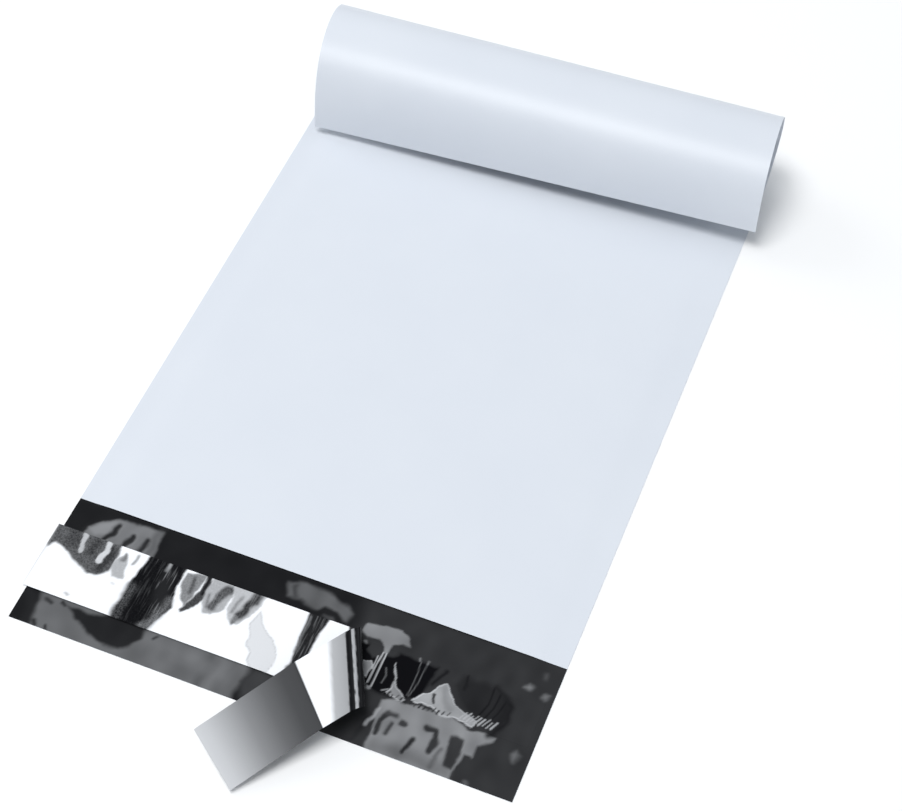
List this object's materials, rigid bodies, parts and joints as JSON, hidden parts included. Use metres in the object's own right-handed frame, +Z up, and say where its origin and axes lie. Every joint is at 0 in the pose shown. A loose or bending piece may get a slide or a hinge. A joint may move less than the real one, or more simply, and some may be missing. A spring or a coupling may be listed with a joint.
{
  "type": "poly mailer bag",
  "caption": "Flat white poly mailer with a black inside, open adhesive flap, half-peeled release liner and rolled-up far end.",
  "frame": {"origin": "on the table, under the middle of the mouth", "axes": "+X to the bag's right, +Y from the mouth to the bottom fold, +Z up from the table"},
  "size_m": [0.1751, 0.3013, 0.0372],
  "materials": {
    "white_film": "satin white co-extruded film outside, glossy black inside and on the flap's inner face",
    "hot_melt_adhesive": "clear glossy adhesive over black film",
    "clear_liner": "clear glossy release film"
  },
  "bodies": {
    "root": {"mailer_film": "white_film", "adhesive_strip": "hot_melt_adhesive", "release_liner": "clear_liner"}
  },
  "joints": []
}
